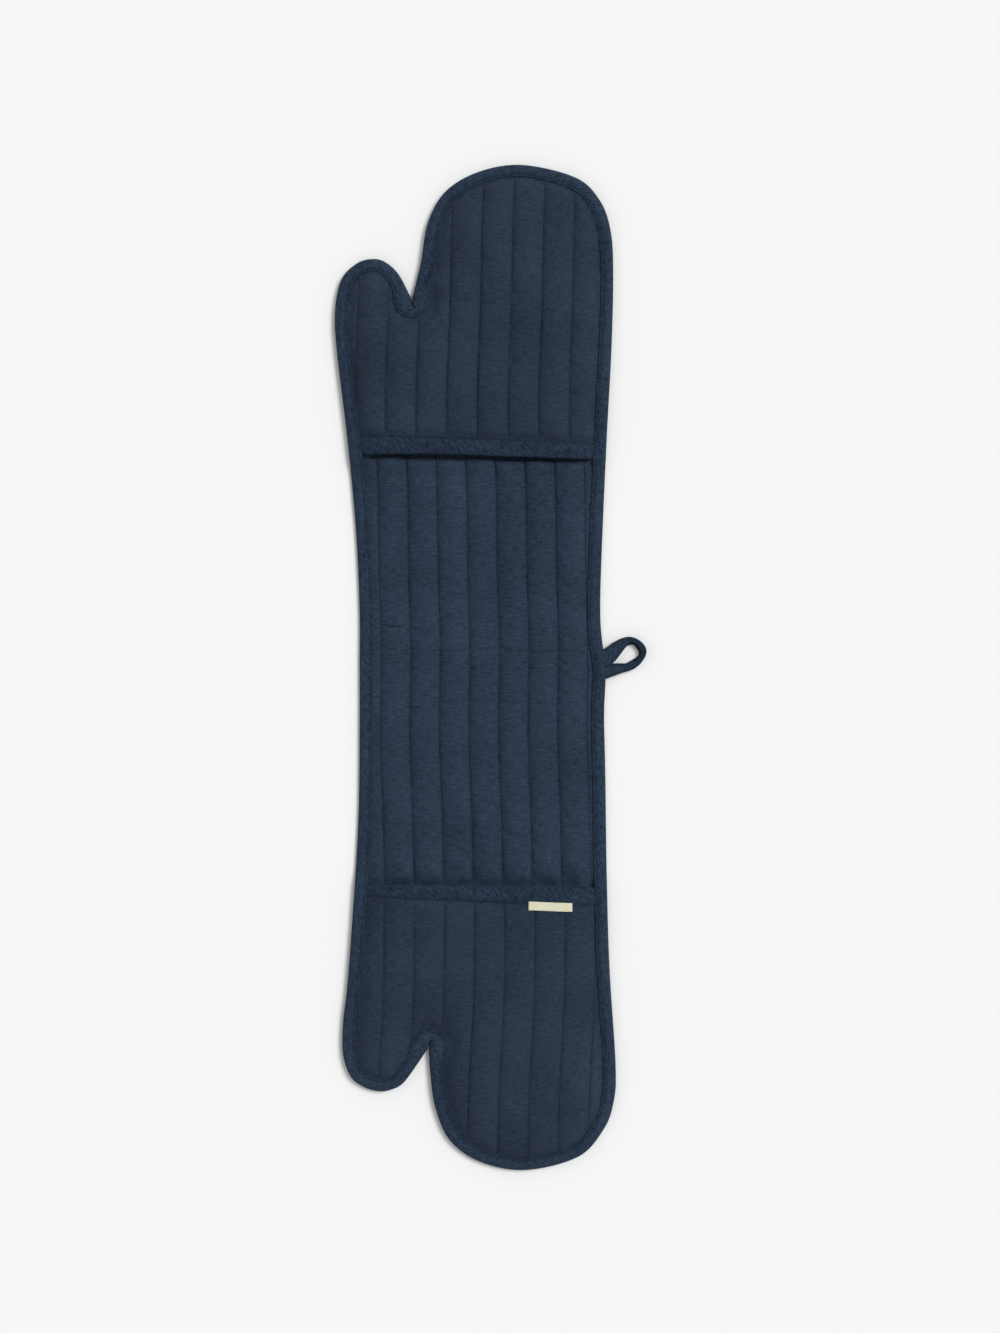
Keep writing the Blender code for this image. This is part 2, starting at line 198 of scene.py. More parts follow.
# The glove's outline, round which everything is cut and sewn: two mitts, each with its thumb on the
# left, joined by a waisted strip. Its points are shares of half the waist and half the length.
half_waist = 0.1015
stitch = 0.0029  # the length of one machine stitch and the gap after it
binding_width = 0.011
crotch_radius = 0.0008
crotch_extra = 0.0042  # how much wider the binding is where it pleats at a crotch
crotch_near, crotch_reach = 0.001, 0.019  # from the crotch, between which it narrows again
pleat_spread = 0.9  # half the width of its pleat, in half stitches
right_slack = 0.0010  # how far the right-hand edge has stretched
loop_pull, loop_pull_y, loop_pull_reach = 0.0040, -0.003, 0.029  # and where the loop pulls it
stretch_rows = (0.35, 0.41)  # from the middle, between which the stretch dies away
stretch_columns = (0.04, 0.08)  # between which it comes in, on the right
upper_finger_shares = (
    (1.000, 0.000), (1.000, 0.160), (1.050, 0.450), (1.090, 0.630), (1.105, 0.780),
    (1.085, 0.870), (1.000, 0.930), (0.800, 0.975), (0.360, 1.000), (0.000, 0.987),
    (-0.280, 0.948), (-0.430, 0.885), (-0.490, 0.805), (-0.5625, 0.732),
)
upper_thumb_shares = (
    (-0.5625, 0.732), (-0.670, 0.781), (-0.780, 0.806), (-0.8875, 0.813), (-1.020, 0.8045),
    (-1.150, 0.772), (-1.204, 0.710), (-1.190, 0.630), (-1.100, 0.450), (-1.030, 0.270),
    (-1.000, 0.114), (-1.000, 0.000),
)
lower_finger_shares = (
    (1.000, 0.000), (1.035, 0.160), (1.052, 0.420), (1.075, 0.600), (1.125, 0.790),
    (1.110, 0.865), (1.030, 0.920), (0.820, 0.974), (0.380, 1.000), (0.000, 0.983),
    (-0.250, 0.940), (-0.370, 0.875), (-0.410, 0.810), (-0.425, 0.756),
)
lower_thumb_shares = (
    (-0.425, 0.756), (-0.520, 0.790), (-0.640, 0.828), (-0.750, 0.841), (-0.846, 0.843),
    (-0.970, 0.834), (-1.080, 0.812), (-1.140, 0.765), (-1.135, 0.700), (-1.105, 0.640),
    (-1.060, 0.500), (-1.010, 0.300), (-1.000, 0.120), (-1.000, 0.000),
)


def wave(value, low, high):
    """0 below low and 1 above high, with a smooth rise between."""
    share = np.clip((value - low) / (high - low), 0, 1)
    return share * share * (3 - 2 * share)


def placed(shares, side):
    return [Vector((x * half_waist, side * y * half_length, 0)) for x, y in shares]


def curve_through(points, steps):
    """A smooth curve through the points. steps gives the number of steps in a span this long."""
    fine = [points[0]]
    row = [2 * points[0] - points[1], *points, 2 * points[-1] - points[-2]]
    for before, start, end, after in zip(row, row[1:], row[2:], row[3:]):
        handles = (start + (end - before) / 6, end - (after - start) / 6)
        fine += interpolate_bezier(start, *handles, end, steps((end - start).length) + 1)[1:]
    return fine


def smooth_run(points):
    """A smooth curve through the points, in steps of half a stitch."""
    fine = np.array(curve_through(points, lambda span: max(2, math.ceil(span / (stitch / 8)))))
    far = np.append(0, np.cumsum(np.linalg.norm(np.diff(fine, axis=0), axis=1)))
    steps = 2 * round(far[-1] / stitch)
    wanted = np.linspace(0, far[-1], steps + 1)
    return np.stack([np.interp(wanted, far, fine[:, k]) for k in range(3)], axis=1)


def outline():
    """Points round the glove, anticlockwise, with their inward normals and pleats.

    At each crotch the normals fan out, and pleats is how deep the binding is folded there.
    """
    right = placed(lower_finger_shares, -1)[:0:-1] + placed(upper_finger_shares, 1)
    left = placed(upper_thumb_shares, 1) + placed(lower_thumb_shares, -1)[-2::-1]
    runs = [smooth_run(right), smooth_run(left)]
    y = runs[0][:, 1]
    pull = loop_pull * np.exp(-(((y - loop_pull_y) / loop_pull_reach) ** 2))
    ends = 1 - wave(np.abs(y), *stretch_rows)
    runs[0][:, 0] += (right_slack + pull) * ends * wave(runs[0][:, 0], *stretch_columns)
    points, normals, pleats = [], [], []
    across = []
    for run in runs:
        along = np.gradient(run, axis=0)
        along /= np.linalg.norm(along, axis=1)[:, None]
        across.append(np.stack([-along[:, 1], along[:, 0], 0 * along[:, 0]], axis=1))
    for mine, normal, following in ((0, across[0], across[1]), (1, across[1], across[0])):
        points += [Vector(point) for point in runs[mine][:-1]]
        normals += [Vector(direction) for direction in normal[:-1]]
        pleats += [0] * (len(normal) - 1)
        first, last = Vector(normal[-1]), Vector(following[0])
        turn = -first.angle(last)
        steps = 2 * round(-turn * binding_width / stitch)
        for step in range(steps):
            direction = Matrix.Rotation(turn * step / steps, 3, "Z") @ first
            points.append(Vector(runs[mine][-1]) + direction * crotch_radius)
            normals.append(direction)
            pleats.append(math.exp(-(((step - steps / 2) / pleat_spread) ** 2)))
    return points, normals, pleats


rail_points, rail_normals, rail_pleats = outline()
crotches = [placed(upper_thumb_shares, 1)[0], placed(lower_thumb_shares, -1)[0]]
rail_widths = []
for point in rail_points:
    away = min((point - crotch).length for crotch in crotches)
    rail_widths.append(binding_width + crotch_extra * (1 - wave(away, crotch_near, crotch_reach)))
rail_tree = KDTree(len(rail_points))
for index, point in enumerate(rail_points):
    rail_tree.insert(point, index)
rail_tree.balance()


def inside(x, y):
    """How far a place lies inside the outline, and which way is in.

    The depth is in shares of the binding's own width there, times its usual width.
    """
    place = Vector((x, y, 0))
    nearest, index, _ = rail_tree.find(place)
    normal = rail_normals[index]
    return (place - nearest).dot(normal) * binding_width / rail_widths[index], normal


# The cloth: a slate blue plain weave of unevenly dyed yarns. Every panel is a grid whose columns
# follow the quilting lines, so that each line of stitches runs along one of them.
fabric = 0.0008  # how thick one cloth is
yarn = 0.00072  # from one yarn to the next
cloth_in_binding = 0.004  # how far inside the outline a panel is cut
panel_reach = 0.128  # from the strip's middle to beyond the widest part
# Where a panel's grid has its columns, in shares of a channel
fine_columns = (0, 0.022, 0.065, 0.14, 0.26, 0.42, 0.58, 0.74, 0.86, 0.935, 0.978)
coarse_columns = (0, 0.08, 0.25, 0.5, 0.75, 0.92)
# How a line of stitches wavers: how far, over what length, and from where
line_wavers = ((0.0009, 0.055, 0), (0.0005, 0.023, 1))
roundness = 2.1  # of a channel's section
steep_part, steepness = 0.2, 14  # how much of its rise is steep, beside the stitches
noise_gain = 1.4  # brings Blender's noise to about -1 to 1


def ripples(x, y, wide, long, seed):
    """Smooth noise from -1 to 1 at each place, whose lumps are wide by long."""
    flat = zip(np.ravel(x) / wide, np.ravel(y) / long)
    return np.array([noise.noise((a, b, seed)) for a, b in flat]) * noise_gain


class Quilting:
    """Parallel lines of stitches, a pitch apart, that lean a little to one side up the cloth."""

    def __init__(self, start, pitch, lean, straight_at):
        self.start, self.pitch, self.lean, self.straight_at = start, pitch, lean, straight_at
        reach = math.ceil(panel_reach / pitch)
        self.numbers = range(-reach, reach + 1)

    def shift(self, y):
        waver = sum(far * np.sin(y / run + turn) for far, run, turn in line_wavers)
        return self.lean * (y - self.straight_at) + waver

    def line(self, number, y):
        return self.start + self.pitch * number + self.shift(y)

    def share(self, x, y):
        """Where a place lies in its channel, from 0 to 1."""
        return ((x - self.shift(y) - self.start) / self.pitch) % 1

    def arch(self, x, y):
        """The rounded section of a channel: 0 at its lines and 1 at its crest."""
        far = 1 - np.abs(2 * self.share(x, y) - 1)
        steep = steep_part * (1 - np.exp(-far * steepness))
        return (1 - steep_part) * (1 - (1 - far) ** roundness) + steep

    def nearness(self, x, y, reach):
        """1 on a line, falling to 0 a reach away."""
        share = self.share(x, y)
        return np.clip(1 - np.minimum(share, 1 - share) * self.pitch / reach, 0, 1)


def panel(quilting, near, far, columns, row_step, side=1):
    """A flat grid from one row to the other, trimmed to the outline. near may bend with x.

    The columns are the places in each channel, in shares of its pitch, where the grid has one.
    """
    count = len(columns) * len(quilting.numbers)
    rows = max(1, round((far - near(0)) / row_step))
    bm = bmesh.new()
    bmesh.ops.create_grid(bm, x_segments=count, y_segments=rows, size=1)
    outside, depths = [], {}
    for vert in bm.verts:
        number, place = divmod(round((vert.co.x + 1) / 2 * count), len(columns))
        number += quilting.numbers[0]
        x = quilting.start + quilting.pitch * (number + columns[place])
        y = side * (near(x) + (vert.co.y + 1) / 2 * (far - near(x)))
        vert.co = (x + quilting.shift(y), y, 0)
        depths[vert], _ = inside(*vert.co.xy)
        if depths[vert] < cloth_in_binding:
            outside.append(vert)
    cut = {vert for gone in outside for face in gone.link_faces for vert in face.verts}
    for vert in cut.difference(outside):
        depth, normal = inside(*vert.co.xy)
        vert.co -= normal * (depth - cloth_in_binding)
    bmesh.ops.delete(bm, geom=outside, context="VERTS")
    if side < 0:
        bmesh.ops.reverse_faces(bm, faces=bm.faces)
    return bm


def places(bm):
    """The panel's x, y and depth inside the outline, as arrays in the order of its vertices."""
    x = np.array([vert.co.x for vert in bm.verts])
    y = np.array([vert.co.y for vert in bm.verts])
    return x, y, np.array([inside(*pair)[0] for pair in zip(x, y)])


def lay(bm, heights):
    for vert, height in zip(bm.verts, heights):
        vert.co.z = height


def flat_map(bm, quilting=None):
    """The UV maps of a panel that still lies flat, in metres.

    One is its own x and y. The other is how far it is to the nearest line of stitches, and y, which
    places the painted seam shade.
    """
    layer = bm.loops.layers.uv.new("flat")
    seam = bm.loops.layers.uv.new("seam")
    for face in bm.faces:
        for loop in face.loops:
            x, y = loop.vert.co.xy
            loop[layer].uv = (x, y)
            if quilting:
                share = quilting.share(x, y)
                loop[seam].uv = (min(share, 1 - share) * quilting.pitch, y)


def into_object(name, bm, material):
    mesh = bpy.data.meshes.new(name)
    bm.to_mesh(mesh)
    bm.free()
    mesh.shade_smooth()
    mesh.materials.append(material)
    obj = bpy.data.objects.new(name, mesh)
    bpy.context.scene.collection.objects.link(obj)
    return obj


def thicken(obj, thickness):
    """Gives a sheet its cloth's thickness, behind its front face."""
    solid = obj.modifiers.new("thickness", "SOLIDIFY")
    solid.thickness = thickness
    solid.offset = -1


sim_frames = 22
sim_scale = 10  # the solver works best on cloth of about a metre
cloth_fullness = 0.08  # how much more cloth there is than the seams' length
pucker_kept = Vector((0.5, 0.7, 1))  # how much of its movement is kept: across, along and up
held_share = 0.03  # of a channel, that is held down beside its stitches
held_in = 0.001  # inside the binding, that the cloth is held


def sewn_down_at(quilting, x, y, depth):
    """Whether each place is held by a line of stitches or by the binding."""
    share = quilting.share(x, y)
    return (np.minimum(share, 1 - share) < held_share) | (depth < binding_width + held_in)


def gather(obj, held, most_pucker):
    """Cloth simulation: held vertices stay, and the rest buckles and puffs between them.

    No place moves further than most_pucker.
    """
    rest = [vert.co.copy() for vert in obj.data.vertices]
    obj.data.transform(Matrix.Scale(sim_scale, 4))
    group = obj.vertex_groups.new(name="held")
    group.add([index for index, value in enumerate(held) if value], 1, "REPLACE")
    cloth = obj.modifiers.new("cloth", "CLOTH")
    settings = cloth.settings
    settings.quality = 7
    settings.mass = 0.4
    settings.tension_stiffness = settings.compression_stiffness = 25
    settings.shear_stiffness = 8
    settings.bending_stiffness = 0.15
    settings.air_damping = 3
    settings.shrink_min = settings.shrink_max = -cloth_fullness
    settings.vertex_group_mass = "held"
    settings.use_pressure = True
    settings.uniform_pressure_force = 0.8
    settings.effector_weights.gravity = 0
    cloth.collision_settings.use_collision = False
    cloth.point_cache.frame_end = sim_frames
    scene = bpy.context.scene
    for number in range(1, sim_frames + 1):
        scene.frame_set(number)
    evaluated = obj.evaluated_get(bpy.context.evaluated_depsgraph_get())
    moved = [vert.co / sim_scale for vert in evaluated.data.vertices]
    obj.modifiers.remove(cloth)
    obj.vertex_groups.remove(group)
    scene.frame_set(1)
    for vert, start, end in zip(obj.data.vertices, rest, moved):
        shift = (end - start) * pucker_kept
        length = max(shift.length, 1e-9)
        vert.co = start + shift * (most_pucker * math.tanh(length / most_pucker) / length)


dye_lumps, dye_clouds = (260, 340), (14, 17)  # per metre, across and along
thread_pull = (60, 22)  # how often the stitches' tightness changes, per metre, which varies the painted seam shade
seam_shade_reach, hole_shade_reach = 0.0006, 0.0007  # how far shade is painted beside a seam, and how much further at a needle hole


def scaled(graph, vector, x, y):
    """The vector with its x and y multiplied."""
    return graph.add("ShaderNodeVectorMath", {"operation": "MULTIPLY"}, vector, (x, y, 1))


def woven(name, dark, light, turn=0.0, streak=1.0, slub=0.007, painted_seam_shade=0.0, relief=0.00018):
    """A plain weave whose yarns are dyed unevenly, most of all its weft.

    slub is the length of a thick or thin place in a yarn. The seam shade argument is how dark
    the shade is that is painted along its lines of stitches and its folds' edges, in their grooves
    and needle holes, which the seam map places.
    """
    graph = Graph(name)
    flat = graph.add("ShaderNodeUVMap", {"uv_map": "flat"})
    turned = graph.add("ShaderNodeMapping", {}, flat, None, (0, 0, turn))
    wander = (graph.noise(scaled(graph, turned, 160, 160), 1) - 0.5) * (2 * yarn)
    x = graph.add("ShaderNodeSeparateXYZ", {}, turned) + wander
    y = graph.add("ShaderNodeSeparateXYZ", {}, turned, output=1) + wander
    beat = math.pi / yarn
    weave = (x * beat).math("SINE", x * beat) * (y * beat).math("SINE", y * beat)
    weft = graph.noise(scaled(graph, turned, 1 / slub, 0.6 / yarn), 3, 0.6) - 0.5
    warp = graph.noise(scaled(graph, turned, 0.6 / yarn, 0.8 / slub), 3, 0.6) - 0.5
    lumps = graph.noise(scaled(graph, turned, *dye_lumps), 3, 0.6) - 0.5
    clouds = graph.noise(scaled(graph, flat, *dye_clouds), 2, 0.5) - 0.5
    tint = weft * (1.1 * streak) + warp * (0.5 * streak) + lumps * 0.35 + clouds * 0.45
    shade = graph.add("ShaderNodeMath", {"use_clamp": True}, tint + weave * 0.12, 0.46)
    colour = graph.mix(shade, dark, light)
    height = weave.math("ABSOLUTE", weave) * 0.6 + weft * 0.8 + warp * 0.4 + lumps * 0.4
    # Painted shade: the cloth is darkened along each seam, most at the needle holes, in place of
    # the shade in the groove; the same mask also sinks the bump.
    if painted_seam_shade:
        seam = graph.add("ShaderNodeUVMap", {"uv_map": "seam"})
        away = graph.add("ShaderNodeSeparateXYZ", {}, seam)
        row = graph.add("ShaderNodeSeparateXYZ", {}, seam, output=1)
        hole = (row * (math.pi / stitch)).math("SINE", row * (math.pi / stitch))
        reach = seam_shade_reach + hole.math("ABSOLUTE", hole) * hole_shade_reach
        sunk = graph.add("ShaderNodeMath", {"use_clamp": True}, 1 - away / reach, 0)
        tension = graph.noise(scaled(graph, flat, *thread_pull), 1) * 1.8 - 0.35
        tension = graph.add("ShaderNodeMath", {"use_clamp": True}, tension, 0)
        sunk = sunk * (0.3 + hole.math("ABSOLUTE", hole) * 0.7) * (0.35 + tension * 0.65)
        # The painted seam shade: a mix towards a darker copy of the cloth's dark colour.
        colour = graph.mix(sunk * painted_seam_shade, colour, tuple(c * 0.3 for c in dark[:3]) + (1,))
        height = height - sunk * 1.6
    bump = graph.add("ShaderNodeBump", {}, Strength=1, Distance=relief, Height=height)
    return graph.finish(
        Base_Color=colour,
        Roughness=0.95 - shade * 0.12,
        Normal=bump,
        Sheen_Weight=0.03,
        Sheen_Roughness=0.5,
        Specular_IOR_Level=0.15,
    )


# The strip, from one set of fingertips to the other: an inner cloth on the pockets' side, a sheet
# of wadding and a back cloth, quilted together by lengthwise lines of stitches 25 mm apart.
strip_dark, strip_light = (0.0088, 0.0168, 0.0325, 1), (0.0365, 0.0600, 0.1010, 1)
strip_valley = 0.0038  # the inner cloth's top where it is stitched down
strip_loft = 0.0032  # how high its channels stand above that
strip_puff = 0.0012  # how far the simulation may move it
back_lift = 0.0010  # how far the stitches draw the back cloth up from the table
strip_rows, pad_rows = 0.0024, 0.0040  # from one row of a panel's grid to the next
edge_swell = 0.009  # from the binding to where a channel is full
upper_mouth, lower_mouth = 0.1774, 0.1843  # how far the pockets' mouths are from the middle
upper_slant = -0.0185  # how much the upper one leans
least_strip = 0.0021  # the inner cloth's top where the strip dives under a pocket's mouth
dive_run = 0.0050  # the length over which it dives
dive_before = 0.0005  # how far before the upper mouth's edge the dive lies
dive_past = 0.0004  # and how far past that it is deepest
dive_ends = (0.006, 0.024)  # further in, between which it comes up again
dive_flattens, slump_flattens = 0.8, 0.8  # how much of a channel's loft is lost there
bulge_run, bulge = 0.016, 0.0026  # the strip stands up before it dives under the upper mouth
bulge_end, bulge_loft = 0.02, 0.2  # how far past the dive that ends, and the loft it adds
deep_run = (0.004, 0.020)  # from the binding, between which the bulge and the slump come in
slump_run = 0.027  # before the lower mouth, where each channel has sunk on its left
slump_rise = 1.7
slump_past = 0.001  # past the lower mouth's edge, where it starts to come up again
slump_pressed = 0.011  # before it, where the channels start to be pressed flat
tooth_crest, tooth_bend = 0.88, 1.15  # where a slumped channel is highest, and its slope's bend
held_reach, pucker_reach = 0.0012, 0.007  # beside a stitch line: cloth held flat, and puckered
# The slack of the cloth: how high, how wide and how long its lumps are, and their seed
strip_puckers = (0.00055, 0.011, 0.0042, 3)
strip_slack = ((0.0005, 0.045, 0.030, 7), (0.00075, 0.024, 0.0105, 8))
strip_quilting = Quilting(-0.0092, 0.025, -0.0193, 0.010)
# Where the strip has been creased by folding: (y, from x, to x, depth, half its width)
strip_creases = (
    (0.0355, -0.088, -0.062, 0.0026, 0.0009), (0.0285, -0.066, -0.038, 0.0022, 0.0030),
    (0.0145, -0.038, 0.090, 0.0013, 0.0022), (0.0035, 0.036, 0.092, 0.0006, 0.0020),
    (-0.0290, -0.036, 0.088, 0.0012, 0.0024), (0.0950, -0.088, -0.020, 0.0007, 0.0022),
    (0.1330, -0.030, 0.070, 0.0006, 0.0026), (-0.1060, -0.085, 0.040, 0.0006, 0.0028),
)
crease_end = 0.006  # the length over which a crease runs out
crease_wander, crease_wander_run, crease_lean = 0.0009, 0.02, 0.02
crease_cut = 0.6  # from one added row of its grid to the next, in shares of half its width


def tooth(share):
    """The section of a slumped channel: a slope up from its left-hand line to beside the other."""
    return np.minimum((share / tooth_crest) ** tooth_bend, (1 - share) / (1 - tooth_crest))


def strip_shape(x, y, depth, spread=0.0):
    """The strip's height at its stitches, how much of its loft each place has, and its puckers.

    spread widens the dips at the mouths, for the wadding under the cloth.
    """
    edge = wave(depth, binding_width, binding_width + edge_swell)
    deep = wave(depth, *(binding_width + run for run in deep_run))
    mouth = upper_mouth - dive_before + upper_slant * x - spread
    stands = wave(y, mouth - bulge_run, mouth - dive_run)
    stands = stands * (1 - wave(y, mouth, mouth + bulge_end)) * deep
    dive = wave(y, mouth - dive_run, mouth + dive_past) * edge
    dive *= 1 - wave(y, *(mouth + run + 2 * spread for run in dive_ends))
    back = wave(-y, lower_mouth + slump_past + spread, lower_mouth + dive_run + spread)
    slumped = wave(-y, lower_mouth - slump_run - spread, lower_mouth - spread) * (1 - back) * deep
    valley = strip_valley + bulge * stands * (spread == 0)
    valley -= (valley - least_strip) * np.maximum(dive, slumped)
    upright = strip_quilting.arch(x, y) * (1 + bulge_loft * stands) * (1 - dive_flattens * dive)
    sunk = (1 + slump_rise) * tooth(strip_quilting.share(x, y))
    pressed = wave(-y, lower_mouth - slump_pressed, lower_mouth + slump_past)
    sunk *= 1 - slump_flattens * pressed
    full = (upright * (1 - slumped) + sunk * slumped) * edge
    loose = 1 - strip_quilting.nearness(x, y, held_reach)
    high, *lumps = strip_puckers
    puckers = ripples(x, y, *lumps) * (0.25 + strip_quilting.nearness(x, y, pucker_reach))
    slack = sum(ripples(x, y, *size) * rise for rise, *size in strip_slack)
    return valley, full, (puckers * high + slack) * np.minimum(full, 1) * loose


def creases(x, y):
    """How far the creases press each place down."""
    fall = np.zeros(len(x))
    for row, start, end, depth, half in strip_creases:
        ends = wave(x, start, start + crease_end) * (1 - wave(x, end - crease_end, end))
        middle = row + ripples(x, 0 * x, crease_wander_run, 1, row * 100) * crease_wander
        middle = middle - crease_lean * (x - start)
        fall += depth * ends * np.exp(-(((y - middle) / half) ** 2))
    return fall


def strip_panel(columns, rows, creased=False):
    """The whole strip as a flat panel, with closer rows at the creases if it has them."""
    bm = panel(strip_quilting, lambda x: -half_length, half_length, columns, rows)
    if creased:
        for row, _, _, _, half in strip_creases:
            for step in range(-3, 3):
                geom = bm.verts[:] + bm.edges[:] + bm.faces[:]
                place = (0, row + step * half * crease_cut, 0)
                bmesh.ops.bisect_plane(bm, geom=geom, plane_co=place, plane_no=(0, 1, 0))
    flat_map(bm, strip_quilting)
    return bm


def across_fold(obj, slot, *nodes):
    """Bakes a piece's transform into its mesh and hides the model's parts that it stands for."""
    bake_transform(obj)
    if nodes:
        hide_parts(*nodes)


strip_cloth = woven("strip_cloth", strip_dark, strip_light, painted_seam_shade=0.2)
bm = strip_panel(fine_columns, strip_rows, creased=True)
x, y, depth = places(bm)
valley, full, puckers = strip_shape(x, y, depth)
lay(bm, valley + strip_loft * full + puckers)
strip_inner = into_object("strip_inner_cloth", bm, strip_cloth)
gather(strip_inner, sewn_down_at(strip_quilting, x, y, depth), strip_puff)
falls = creases(x, y) * np.clip(full * 1.6 - 0.35, 0, 1)  # none at the stitches
for vert, fall in zip(strip_inner.data.vertices, falls):
    vert.co.z -= fall
thicken(strip_inner, fabric)
across_fold(strip_inner, "panel_cloth", "upper_inner_fabric", "lower_inner_fabric")

back_cloth = woven("back_cloth", strip_dark, strip_light, painted_seam_shade=0.25)
bm = strip_panel(coarse_columns, pad_rows)
x, y, depth = places(bm)
valley, full, puckers = strip_shape(x, y, depth)
lift = back_lift * np.clip(1 - full, 0, 1) * (valley - least_strip) / (strip_valley - least_strip)
lay(bm, np.maximum(0, lift + puckers))
bmesh.ops.reverse_faces(bm, faces=bm.faces)
strip_back = into_object("strip_back_cloth", bm, back_cloth)
thicken(strip_back, fabric)
across_fold(strip_back, "back_cloth", "upper_back_fabric", "lower_back_fabric")

wadding_gap = 0.0005  # between the wadding and each cloth
least_wadding = 0.0001  # where it is pressed thinnest
pad_spread = 0.006  # how much wider the wadding dips at the mouths than the cloth
pad_share = 0.5  # of the cloth's loft, that the wadding has
fibre_scale = (900, 900)  # per metre
felt = Graph("wadding")
felt_flat = felt.add("ShaderNodeUVMap", {"uv_map": "flat"})
fibres = felt.noise(scaled(felt, felt_flat, *fibre_scale), 4)
felt_bump = felt.add("ShaderNodeBump", {}, Strength=0.6, Distance=0.0004, Height=fibres)
wadding = felt.finish(
    Base_Color=felt.mix(fibres, (0.66, 0.64, 0.60, 1), (0.86, 0.85, 0.82, 1)),
    Roughness=0.97,
    Normal=felt_bump,
)


def filled(bm, bottom, top):
    """Closes a flat panel into a pad between two sets of heights."""
    lay(bm, bottom)
    lower = list(bm.verts)
    raised = bmesh.ops.extrude_face_region(bm, geom=bm.faces[:], use_keep_orig=True)["geom"]
    upper = [item for item in raised if isinstance(item, bmesh.types.BMVert)]
    heights = {tuple(vert.co.xy): height for vert, height in zip(lower, top)}
    for vert in upper:
        vert.co.z = heights[tuple(vert.co.xy)]
    bmesh.ops.recalc_face_normals(bm, faces=bm.faces)


bm = strip_panel(coarse_columns, pad_rows)
x, y, depth = places(bm)
valley, full, _ = strip_shape(x, y, depth, pad_spread)
full = np.minimum(full, 1)
lift = back_lift * np.clip(1 - full, 0, 1) * (valley - least_strip) / (strip_valley - least_strip)
bottom = lift + fabric + wadding_gap / 2
top = valley - fabric - wadding_gap + strip_loft * pad_share * full
filled(bm, bottom, np.maximum(top, bottom + least_wadding))
strip_pad = into_object("strip_wadding", bm, wadding)
across_fold(strip_pad, "wadding", "upper_strip_wadding", "lower_strip_wadding")


# The threads: a dark polyester lockstitch, lying in its groove and dipping into the cloth at each
# needle hole.
thread_radius = 0.00034
thread_sink = 0.00030
thread_stands = {1: 0.8, -1: -0.4}  # in radii: out of the cloth on top, drawn into it below
stitch_share = 0.74  # of a stitch's length that shows on the surface
drop_height = 0.2  # from which a place is dropped on to a surface

thread = Graph("thread").finish(
    Base_Color=(0.015, 0.024, 0.042, 1), Roughness=0.85, Specular_IOR_Level=0.1
)


def surface_of(obj):
    """A tree of the object's own mesh, to find its height at a place."""
    mesh = obj.data
    faces = [tuple(face.vertices) for face in mesh.polygons]
    return BVHTree.FromPolygons([vert.co for vert in mesh.vertices], faces)


def resting(tree, points, up=1):
    """The places where points dropped on the surface from above, or from below, come to rest."""
    found = []
    for point in points:
        start = Vector((point[0], point[1], up * drop_height))
        hit = tree.ray_cast(start, Vector((0, 0, -up)))[0]
        if hit is not None:
            found.append(hit)
    return found


def sewn(name, lines, up=1):
    """Stitches along the lines, which are lists of places half a stitch apart."""
    curve = bpy.data.curves.new(name, "CURVE")
    curve.dimensions = "3D"
    curve.bevel_depth = thread_radius
    curve.bevel_resolution = 1
    curve.use_fill_caps = True
    lift = Vector((0, 0, up * thread_radius * thread_stands[up]))
    sink = Vector((0, 0, -up * thread_sink))
    for line in lines:
        for start, middle, end in zip(line[::2], line[1::2], line[2::2]):
            spline = curve.splines.new("POLY")
            spline.points.add(2)
            first = middle.lerp(start, stitch_share) + sink
            last = middle.lerp(end, stitch_share) + sink
            for point, place in zip(spline.points, (first, middle + lift, last)):
                point.co = (*place, 1)
    drawn = bpy.data.objects.new(name, curve)
    bpy.context.scene.collection.objects.link(drawn)
    evaluated = drawn.evaluated_get(bpy.context.evaluated_depsgraph_get())
    mesh = bpy.data.meshes.new_from_object(evaluated)
    bpy.data.objects.remove(drawn)
    mesh.name = name
    mesh.materials.clear()
    mesh.materials.append(thread)
    mesh.shade_smooth()
    obj = bpy.data.objects.new(name, mesh)
    bpy.context.scene.collection.objects.link(obj)
    return obj


def quilting_lines(quilting, near, far, tree, side=1, up=1):
    """The stitch lines of one panel between two rows, on its surface."""
    lines = []
    first = math.floor(near / stitch) + 0.5
    rows = np.arange(first, far / stitch, 0.5) * stitch * side
    for number in quilting.numbers:
        line = []
        for y in rows:
            x = quilting.line(number, y)
            if inside(x, y)[0] > binding_width:
                line.append((x, y))
        if len(line) > 2:
            lines.append(resting(tree, line, up))
    return lines


inner_tree = surface_of(strip_inner)
lines = quilting_lines(strip_quilting, -half_length, half_length, inner_tree)
across_fold(sewn("strip_inner_stitches", lines), "binding_tape")
back_tree = surface_of(strip_back)
lines = quilting_lines(strip_quilting, -half_length, half_length, back_tree, up=-1)
across_fold(sewn("strip_back_stitches", lines, up=-1), "binding_tape")


# The bias tape, cut at 45 degrees from the same cloth: it binds the edge and the pockets' mouths
# and makes the loop. Folded round an edge, it is stitched near its inner fold.
tape = 0.0007  # its thickness
tape_stitch_inset = 0.0022  # from the tape's inner fold to its stitches
tape_dark, tape_light = (0.0064, 0.0133, 0.0270, 1), (0.0334, 0.0585, 0.1000, 1)
# The bias tape carries the strongest painted seam shade, along its stitches and its folds' edges.
bias_weave = {"turn": math.radians(45), "streak": 1.7, "slub": 0.0070, "painted_seam_shade": 0.75}
bias_tape = woven("bias_tape", tape_dark, tape_light, **bias_weave)
tape_seams = (2, 19)  # the places of a folded tape's section where it is stitched, where shade is also painted
seams_with_fold_shade = (0, 2, 19, 21)  # and with the edges of its folds, where shade is painted as well
